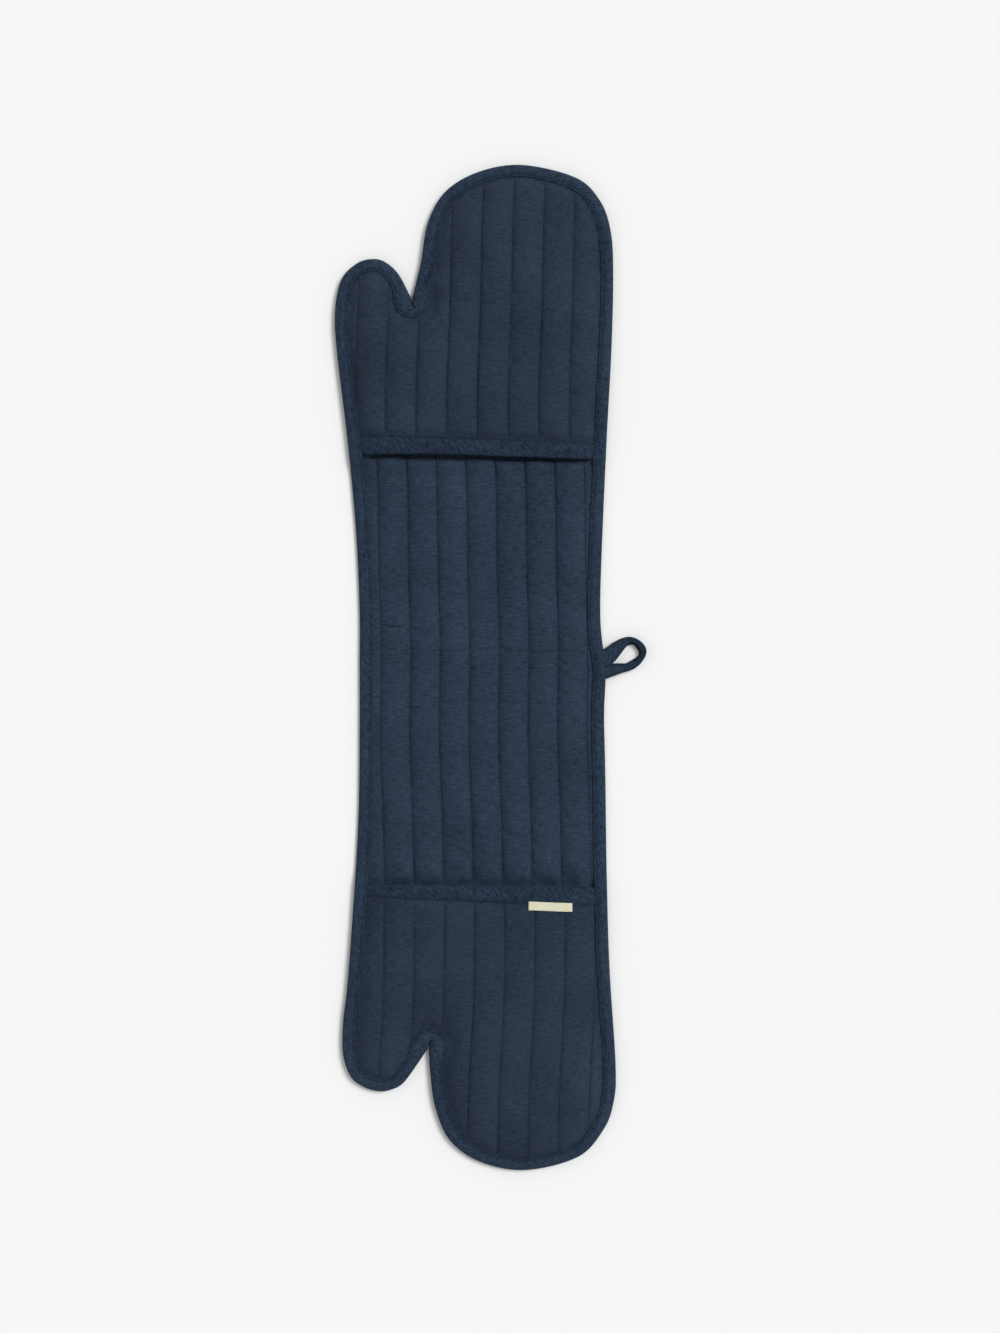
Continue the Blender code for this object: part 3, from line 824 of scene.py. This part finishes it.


def swept(name, rings, along, material, closed, seams=()):
    """A solid through the rings of places. Its UV maps unroll the tape, in metres.

    seams are the places in a ring where stitches or a fold's edge run, for the seam map, which
    places painted shade along them.
    """
    bm = bmesh.new()
    layer = bm.loops.layers.uv.new("flat")
    seam_layer = bm.loops.layers.uv.new("seam")
    verts = [[bm.verts.new(place) for place in ring] for ring in rings]
    size = len(rings[0])
    reach = [0]
    for start, end in zip(rings[0], [*rings[0][1:], rings[0][0]]):
        reach.append(reach[-1] + (Vector(end) - Vector(start)).length)
    away = [min([abs(far - reach[seam]) for seam in seams], default=1) for far in reach]
    steps = len(rings) if closed else len(rings) - 1
    for i in range(steps):
        near, far = verts[i], verts[(i + 1) % len(rings)]
        for j in range(size):
            k = (j + 1) % size
            face = bm.faces.new((near[j], near[k], far[k], far[j]))
            corners = ((i, j), (i, j + 1), (i + 1, j + 1), (i + 1, j))
            for loop, (step, turn) in zip(face.loops, corners):
                loop[layer].uv = (along[step], reach[turn])
                loop[seam_layer].uv = (away[turn], along[step] + stitch / 2)
    if not closed:
        for end in (verts[0], verts[-1]):
            bm.faces.new(end)
    bmesh.ops.recalc_face_normals(bm, faces=bm.faces)
    obj = into_object(name, bm, material)
    for polygon in obj.data.polygons:
        polygon.use_smooth = len(polygon.vertices) == 4
    return obj


def tape_section(width, thickness, puff, groove, seam):
    """The closed section of a tape folded round an edge, as (inset, height) pairs.

    It starts on top at the tape's inner fold, and its stitches are the seam's length from there.
    """
    top = thickness / 2
    half = [
        (width, top - tape * 0.2), (width - seam * 0.4, top + puff * 0.2),
        (width - seam, top - groove), (width - seam * 1.7, top + puff * 0.5),
        (width * 0.62, top + puff), (width * 0.46, top + puff * 0.7),
        (width * 0.32, top - thickness * 0.02), (width * 0.20, top - thickness * 0.08),
        (width * 0.10, top - thickness * 0.18), (width * 0.035, top - thickness * 0.31),
        (width * 0.005, top - thickness * 0.43),
    ]
    flat = top - tape
    within = [(width, flat), (width * 0.3, flat), (tape * 1.5, flat * 0.4)]
    below = [(inset, -height) for inset, height in half[::-1]]
    return half + below + [(inset, -height) for inset, height in within] + within[::-1]


# The pockets: on each mitt a quilted panel of cloth, wadding and lining, sewn in all round under
# the binding but for its mouth, which is folded into a tape. It stands a little open.
pocket_dark, pocket_light = (0.0078, 0.0142, 0.0280, 1), (0.0345, 0.0525, 0.0905, 1)
pocket_seat = 0.0041  # its underside's height in the binding
pocket_pressed = 0.0028  # two cloths with the wadding pressed between them
line_lift = 0.0010  # how far its quilting lines stand above what is pressed in the binding
# How far the underside rises above its seat, from where and over what distance inside the outline
crown, crown_start, crown_reach = 0.009, 0.0113, 0.060
crown_fullness = 4  # how steeply it rises at first
pocket_rows, lining_rows = 0.0022, 0.0032  # from one row of a panel's grid to the next
hem_flat, hem_swell = 0.001, 0.006  # beyond the hem's stitches, where the channels start and fill
hem_grip = 0.002  # how far beyond them the cloth is held
# Its puckers beside the stitch lines and the slack of its cloth: how wide and long the lumps are
pocket_puckers, pocket_slack, small_slack = (0.010, 0.0040), (0.040, 0.028), (0.02, 0.012)
pucker_height, slack_height = 0.00042, 0.00042
pocket_pad_share = 0.4  # of the cloth's loft, that the wadding has
# The binding presses the wadding thin up to the first depth, and no more past the second
pinch_start, pinch_end = binding_width - 0.001, binding_width + 0.005
pinch_lift, pinched_pad = 0.0006, 0.0002  # how high it lies there, and how thin
# Where a half would bend as its pocket opens; the script works this out but bends nothing. At the
# mouth the bend would start open_inset out from the middle seam, and end open_middle further in.
# It leans, so that the cloth by the fingertips would stay.
open_inset, open_middle = 0.095, 0.065
open_lean = -0.36
open_far = 0.330  # with the mouth, the row that gives the middle seam's direction
bow_middle, bow_reach = -0.030, 0.052  # where the mouth's edge bows, and over what distance


def swell(depth):
    """The height of a pocket's underside, which its sewn edge holds down."""
    share = np.clip((depth - crown_start) / crown_reach, 0, 1)
    return pocket_seat + crown * (1 - (1 - share) ** crown_fullness)


class Pocket:
    """One mitt's pocket. Rows are measured outwards from the glove's middle."""

    def __init__(
        self, name, side, quilting, seed, loft, puff, mouth, mouth_slant, bow, hem, hem_slant
    ):
        self.name, self.side, self.quilting, self.seed = name, side, quilting, seed
        self.loft, self.puff = loft, puff
        self.mouth_middle, self.mouth_slant, self.mouth_bow = mouth, mouth_slant, bow
        self.hem_middle, self.hem_slant = hem, hem_slant
        self.bodies = (f"{name}_half", f"{name}_pocket")
        self.split = quilting.start

    def bow(self, x):
        return self.mouth_bow * np.exp(-(((x - bow_middle) / bow_reach) ** 2))

    def mouth(self, x):
        """The mouth's free edge: nearly straight, a little lower on one side."""
        return self.mouth_middle + self.mouth_slant * x + self.bow(x)

    def hem(self, x):
        """How far its stitches lie from the free edge."""
        return self.hem_middle + self.hem_slant * x - self.bow(x)

    def shape(self, x, y, depth):
        """How clear of the sewn edges each place is, its share of the loft, and its puckers.

        y is measured outwards.
        """
        row = self.side * y
        edge = wave(depth, binding_width, binding_width + edge_swell)
        beyond = y - self.mouth(x) - self.hem(x)
        edge = edge * wave(beyond, hem_flat, hem_flat + hem_swell)
        full = self.quilting.arch(x, row) * edge
        loose = 1 - self.quilting.nearness(x, row, held_reach)
        puckers = ripples(x, row, *pocket_puckers, self.seed)
        puckers *= 0.25 + self.quilting.nearness(x, row, pucker_reach)
        slack = ripples(x, row, *pocket_slack, self.seed + 5) + ripples(x, row, *small_slack, 9)
        return edge, full, (puckers * pucker_height + slack * slack_height) * edge * loose

    def outer_top(self, x, y, depth):
        edge, full, puckers = self.shape(x, y, depth)
        return swell(depth) + pocket_pressed + line_lift * edge + self.loft * full + puckers

    def panel(self, row_step, tuck):
        """Its panel laid flat, which starts a tuck inside the mouth's free edge."""

        def near(x):
            return self.mouth(x) + tuck

        bm = panel(self.quilting, near, half_length, fine_columns, row_step, self.side)
        flat_map(bm, self.quilting)
        return bm

    def halves(self, bm):
        """The panel cut in two along its middle line of stitches."""
        other = bm.copy()
        for part, keep in ((bm, -1), (other, 1)):
            gone = []
            for face in part.faces:
                middle = face.calc_center_median()
                split = self.quilting.line(0, middle.y)
                if (middle.x - split) * keep < 0:
                    gone.append(face)
            bmesh.ops.delete(part, geom=gone, context="FACES")
        return (("left", bm), ("right", other))

    def opens(self, obj, half, slot, *nodes):
        """Works out where the half would bend as its pocket opens, but only bakes its transform
        into its mesh and hides the model's parts that it stands for.
        """
        out = -1 if half == "left" else 1
        ends = [self.side * row for row in (self.mouth_middle, open_far)]
        near, far = (Vector((self.quilting.line(0, row), row, 0)) for row in ends)
        along = (far - near).normalized()
        across = out * self.side * Vector((along.y, -along.x, 0))
        start = near + across * open_inset
        way = along * open_lean - across * math.sqrt(1 - open_lean**2)
        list(self.bodies)
        start + way * open_middle
        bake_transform(obj)
        if nodes:
            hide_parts(*[f"{self.name}_{node}" for node in nodes])


def measured(bm, side):
    """The panel's places, with y measured outwards."""
    x, y, depth = places(bm)
    return x, side * y, depth


pocket_cloth = woven("pocket_cloth", pocket_dark, pocket_light, streak=0.8, painted_seam_shade=0.16)
lining_cloth = woven("lining_cloth", strip_dark, strip_light, painted_seam_shade=0.25)
upper_pocket = Pocket(
    "upper", 1, Quilting(-0.0002, 0.0258, 0.0205, 0.252), 21, loft=0.0028, puff=0.0010,
    mouth=upper_mouth, mouth_slant=upper_slant, bow=0.0016, hem=0.0144, hem_slant=-0.0155,
)
lower_pocket = Pocket(
    "lower", -1, Quilting(-0.0052, 0.0254, 0.029, -0.243), 43, loft=0.0019, puff=0.0005,
    mouth=lower_mouth, mouth_slant=0.0138, bow=-0.0007, hem=0.0116, hem_slant=0.0285,
)
pocket_trees = {}
for pocket in (upper_pocket, lower_pocket):
    side = pocket.side
    bm = pocket.panel(pocket_rows, tape + fabric)
    x, y, depth = measured(bm, side)
    lay(bm, pocket.outer_top(x, y, depth))
    beyond = y - pocket.mouth(x) - pocket.hem(x)
    held = sewn_down_at(pocket.quilting, x, side * y, depth) | (beyond < hem_grip)
    whole = into_object("whole_pocket", bm, pocket_cloth)
    gather(whole, held, pocket.puff)
    pocket_trees[pocket.name] = surface_of(whole)
    bm = bmesh.new()
    bm.from_mesh(whole.data)
    bpy.data.objects.remove(whole)
    for half, part in pocket.halves(bm):
        outer = into_object(f"{pocket.name}_pocket_cloth_{half}", part, pocket_cloth)
        thicken(outer, fabric)
        pocket.opens(outer, half, "panel_cloth", "pocket_outer_fabric", "pocket_sewn_edge")

    near = pocket.mouth_middle + pocket.hem_middle + stitch
    lines = quilting_lines(pocket.quilting, near, half_length, pocket_trees[pocket.name], side)
    beside = [line[0].x - pocket.quilting.line(0, line[0].y) for line in lines]
    for half, out in (("left", -1), ("right", 1)):
        mine = [line for line, far in zip(lines, beside) if (far + fabric) * out > 0]
        threads = sewn(f"{pocket.name}_pocket_stitches_{half}", mine)
        pocket.opens(threads, half, "binding_tape")

    bm = pocket.panel(lining_rows, tape + fabric)
    x, y, depth = measured(bm, side)
    edge, full, puckers = pocket.shape(x, y, depth)
    lay(bm, swell(depth) + line_lift * edge * (1 - full) + puckers * 0.5)
    bmesh.ops.reverse_faces(bm, faces=bm.faces)
    for half, part in pocket.halves(bm):
        lining = into_object(f"{pocket.name}_pocket_lining_{half}", part, lining_cloth)
        thicken(lining, fabric)
        pocket.opens(lining, half, "lining_cloth", "pocket_lining")

    bm = pocket.panel(lining_rows, 3 * tape + fabric)
    x, y, depth = measured(bm, side)
    edge, full, _ = pocket.shape(x, y, depth)
    bottom = swell(depth) + line_lift * edge * (1 - full) + fabric + wadding_gap / 2
    top = swell(depth) + pocket_pressed - fabric - wadding_gap
    top += pocket.loft * pocket_pad_share * full
    pinched = 1 - wave(depth, pinch_start, pinch_end)
    bottom += pinched * pinch_lift
    top += pinched * (bottom + pinched_pad - top)
    heights = {(vx, vy): pair for vx, vy, pair in zip(x, side * y, zip(bottom, top))}
    for half, part in pocket.halves(bm):
        mine = [heights[vert.co.x, vert.co.y] for vert in part.verts]
        low, high = (np.array(column) for column in zip(*mine))
        filled(part, low, np.maximum(high, low + pinched_pad))
        pad = into_object(f"{pocket.name}_pocket_wadding_{half}", part, wadding)
        pocket.opens(pad, half, "wadding", "pocket_wadding")


# The hems: a bias tape folded over each pocket's mouth and stitched down near its inner fold. Each
# is in two lengths, as its panel is.
hem_seam = 0.0012  # from its inner fold to its stitches
hem_thickness = pocket_pressed + 2 * tape + 0.0006
hem_pinch = (-0.002, 0.002)  # beside the binding's inner edge, between which it thickens
hem_puff, hem_puff_change, hem_puff_run = 0.0003, 0.0004, 0.007  # the last a lump's length
hem_groove, hem_hole = 0.00025, 0.00015  # how deep its stitches lie, and their holes below that
# Painted shade: the hems' tape is the same bias tape, painted darker than the binding.
hem_shaded_dark, hem_shaded_light = (0.0052, 0.0108, 0.0228, 1), (0.0268, 0.0474, 0.0828, 1)
shaded_hem_tape = woven("shaded_hem_tape", hem_shaded_dark, hem_shaded_light, **bias_weave)

for pocket in (upper_pocket, lower_pocket):
    side, mouth = pocket.side, pocket.mouth
    inner_ends = []
    for out in (-1, 1):
        x = pocket.split
        while inside(x, side * mouth(x))[0] > cloth_in_binding:
            x += out * stitch / 2
        inner_ends.append(x)
    for half, end in zip(("left", "right"), inner_ends):
        rings, seam_line = [], []
        columns = 2 * round(abs(end - pocket.split) / stitch)
        xs = np.linspace(pocket.split, end, columns + 1)
        for index, x in enumerate(xs):
            edge, width = mouth(x), pocket.hem(x) + hem_seam
            held = inside(x, side * edge)[0] - binding_width
            thick = (hem_thickness - pocket_pressed) * wave(held, *hem_pinch)
            thickness = pocket_pressed + thick
            lump = noise.noise((x / hem_puff_run, 0.3, pocket.seed))
            puff = hem_puff + hem_puff_change * lump
            dip = hem_groove + hem_hole * (index % 2)
            ring = []
            for inset, height in tape_section(width, thickness, puff, dip, hem_seam):
                y = side * (edge + inset)
                base = swell(inside(x, y)[0]) + pocket_pressed / 2
                ring.append(Vector((x, y, base + height)))
            rings.append(ring)
            seam_line.append(ring[tape_seams[0]])
        name = f"{pocket.name}_pocket_hem_{half}"
        hem = swept(name, rings, -side * xs, shaded_hem_tape, False, tape_seams)
        pocket.opens(hem, half, "binding_tape", "pocket_hem")
        threads = sewn(f"{pocket.name}_hem_stitches_{half}", [seam_line])
        pocket.opens(threads, half, "binding_tape")


# The edge binding: one length of bias tape, folded round the whole glove and stitched through. It
# is thicker round the mitts, where it takes in the pockets, and pleats at the crotch of each thumb.
middle_binding, mitt_binding = 0.0048, 0.0079  # how thick it is
rise_run = 0.012  # before a mouth, over which it thickens
over_loop, over_loop_reach = 0.0020, 0.018  # how much it swells over the hanging loop's ends
pleat_depth, pleat_reach = 0.0050, 0.95  # the second in shares of the tape's width
# Its lumps: how much they change its width and its puff, each over what length
width_change, width_run = 0.0004, 0.02
edge_puff, edge_puff_change, edge_puff_run = 0.00025, 0.0004, 0.006
edge_groove, edge_hole = 0.0003, 0.00018  # how deep its stitches lie, and their holes below that

rings, along = [], [0]
top_seam, low_seam = [], []
for index, (point, normal) in enumerate(zip(rail_points, rail_normals)):
    mouth = upper_mouth if point.y > 0 else lower_mouth
    rise = wave(abs(point.y), mouth - rise_run, mouth)
    thickness = middle_binding + (mitt_binding - middle_binding) * rise
    beside_loop = math.exp(-(((point.y - loop_pull_y) / over_loop_reach) ** 2))
    lift = over_loop * beside_loop * (point.x > 0)
    width = rail_widths[index]
    width += width_change * noise.noise((point.x / width_run, point.y / width_run, 5))
    lump = noise.noise((point.x / edge_puff_run, point.y / edge_puff_run, 2))
    puff = edge_puff + edge_puff_change * lump
    dip = edge_groove + edge_hole * (index % 2)
    pleat = rail_pleats[index]
    ring = []
    for inset, height in tape_section(width, thickness, puff, dip, tape_stitch_inset):
        height += thickness / 2
        if height > thickness / 2:
            height += lift * max(0, 1 - (inset / width) ** 2)
            height -= pleat * pleat_depth * max(0, 1 - inset / (pleat_reach * width))
        ring.append(point + normal * inset + Vector((0, 0, height)))
    rings.append(ring)
    top_seam.append(ring[tape_seams[0]])
    low_seam.append(ring[tape_seams[1]])
    if index:
        along.append(along[-1] + max((point - rail_points[index - 1]).length, stitch / 4))
along.append(along[-1] + stitch / 2)
binding = swept("edge_binding", rings, along, bias_tape, True, seams_with_fold_shade)
across_fold(binding, "binding_tape", "upper_edge_binding", "lower_edge_binding")
closed_seams = [seam + seam[:1] for seam in (top_seam, low_seam)]
across_fold(sewn("binding_top_stitches", closed_seams[:1]), "binding_tape")
across_fold(sewn("binding_back_stitches", closed_seams[1:], up=-1), "binding_tape")


# The label: a short length of cream woven tape, caught under the lower hem and left bare.
label_width, label_height = 0.0368, 0.0070
label_tape = 0.00045
label_middle = 0.0597
label_overlap = 0.0011  # of the hem's stitches, which hold its top edge
label_cells = (30, 9)
label_gap, label_curl = 0.0002, 0.0004  # how far it lies above the pocket, and its edge curls
label_rests = (-0.007, -0.0035, 0, 0.0035, 0.007)  # beside a place, where the pocket carries it

cream = woven(
    "label_tape", (0.52, 0.50, 0.35, 1), (0.85, 0.84, 0.66, 1), streak=0.6, relief=0.00008
)
bm = bmesh.new()
bmesh.ops.create_grid(bm, x_segments=label_cells[0], y_segments=label_cells[1], size=0.5)
tree = pocket_trees["lower"]
for vert in bm.verts:
    down = 0.5 - vert.co.y
    x = label_middle + vert.co.x * label_width
    row = lower_pocket.mouth(x) + lower_pocket.hem(x) - label_overlap + down * label_height
    under = max(resting(tree, [(x + reach, -row)])[0].z for reach in label_rests)
    on_hem = swell(inside(x, -row)[0]) + (pocket_pressed + hem_thickness) / 2
    curl = label_curl * math.sin(vert.co.x * 5) * down
    vert.co = (x, -row, max(under, on_hem) + label_gap + label_tape + curl)
flat_map(bm)
label = into_object("label", bm, cream)
thicken(label, label_tape)
lower_pocket.opens(label, "right", "label_tape")
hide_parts("label")


# The hanging loop: a length of the bias tape, folded double and sewn flat, whose two ends are sewn
# to the edge. It is twisted, so that its far bend stands on edge and shows its inner face.
loop_tape = 0.0014  # its thickness, folded double
# The tape's outer and inner edges along it, in millimetres
loop_edges = (
    ((95.5, 11.0, 3.6), (95.5, -2.4, 3.7)), ((101.2, 13.9, 4.2), (101.4, -1.6, 4.5)),
    ((107.0, 16.8, 4.8), (107.8, 0.6, 5.6)), ((111.6, 20.2, 4.8), (113.7, 4.5, 5.5)),
    ((116.4, 23.0, 4.6), (118.4, 10.1, 4.4)), ((120.5, 24.8, 4.5), (122.0, 15.0, 3.4)),
    ((125.1, 25.9, 4.7), (124.9, 18.3, 2.5)), ((129.0, 25.6, 5.3), (127.5, 19.3, 1.9)),
    ((132.6, 24.4, 6.0), (129.8, 19.4, 1.5)), ((135.7, 22.4, 6.6), (131.7, 18.2, 1.2)),
    ((138.3, 19.9, 7.0), (133.6, 15.8, 1.0)), ((140.0, 17.3, 7.2), (134.9, 13.8, 1.0)),
    ((140.8, 14.8, 7.3), (135.2, 12.0, 1.0)), ((140.8, 12.4, 7.2), (135.1, 10.6, 1.0)),
    ((139.8, 9.0, 6.9), (134.1, 9.1, 1.0)), ((136.6, 4.1, 6.0), (132.0, 7.9, 1.2)),
    ((133.2, 0.6, 4.9), (129.5, 6.6, 1.6)), ((128.9, -2.0, 3.8), (127.1, 5.2, 2.1)),
    ((124.3, -3.5, 3.2), (123.9, 3.6, 2.7)), ((120.2, -4.7, 3.4), (119.7, 3.6, 3.1)),
    ((115.9, -6.3, 3.8), (114.9, 3.6, 3.6)), ((111.9, -7.7, 3.9), (110.4, 3.2, 3.7)),
    ((107.0, -9.5, 3.9), (106.0, 2.2, 3.7)), ((101.2, -11.0, 3.4), (101.2, 1.0, 3.2)),
    ((95.5, -12.0, 3.0), (95.5, -0.2, 3.0)),
)
loop_steps = 4  # of its fine edges between two of these
# From the tape's edges: its rounded corner, its stitches, and where it is full again
loop_corner, loop_stitch_inset, loop_full = 0.0005, 0.0013, 0.0022
loop_seams = (2, 6, 11, 15)  # the places of its section where it is stitched, above and below, where shade is painted along them
twist_shares = (0.25, 0.7)  # of its width that it is tilted, between which it stands on edge
loop_arch = 0.0018  # how far the tape's middle stands out where it is twisted on edge
loop_groove = 0.0032  # between its two layers, which part there
groove_middle, groove_width = -0.22, 0.13  # in shares of the tape's width

outer_edge, inner_edge = (
    curve_through([Vector(place) / 1000 for place in edge], lambda span: loop_steps)
    for edge in zip(*loop_edges)
)
middles = [(outer + inner) / 2 for outer, inner in zip(outer_edge, inner_edge)]
rings, along, seams = [], [0], [[], []]
for index, (outer, inner) in enumerate(zip(outer_edge, inner_edge)):
    last, following = middles[max(0, index - 1)], middles[min(len(middles) - 1, index + 1)]
    ahead = (following - last).normalized()
    across = outer - inner
    up = ahead.cross(across).normalized()
    wide, thick = across.length, loop_tape / 2
    across.normalize()
    section = [
        (wide / 2, thick * 0.4), (wide / 2 - loop_corner, thick),
        (wide / 2 - loop_stitch_inset, thick * 0.7), (wide / 2 - loop_full, thick * 1.1),
    ]
    section += [(0, thick * 1.15)] + [(-reach, height) for reach, height in section[::-1]]
    section += [(reach, -height) for reach, height in section[::-1]]
    twist = wave(abs(outer.z - inner.z) / wide, *twist_shares)
    curved = []
    for reach, height in section:
        share = reach / wide
        height += twist * loop_arch * (1 - 4 * share * share)
        height -= twist * loop_groove * math.exp(-(((share - groove_middle) / groove_width) ** 2))
        curved.append((reach, height))
    middle = middles[index]
    ring = [middle + across * reach + up * height for reach, height in curved]
    rings.append(ring)
    for seam, place in zip(seams, loop_seams):
        seam.append(ring[place])
    if index:
        along.append(along[-1] + (middles[index] - middles[index - 1]).length)
hanging_loop = swept("hanging_loop", rings, along, bias_tape, False, loop_seams)
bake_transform(hanging_loop)
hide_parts("hanging_loop", "loop_sewn_end")
loop_threads = sewn("loop_stitches", seams)
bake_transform(loop_threads)
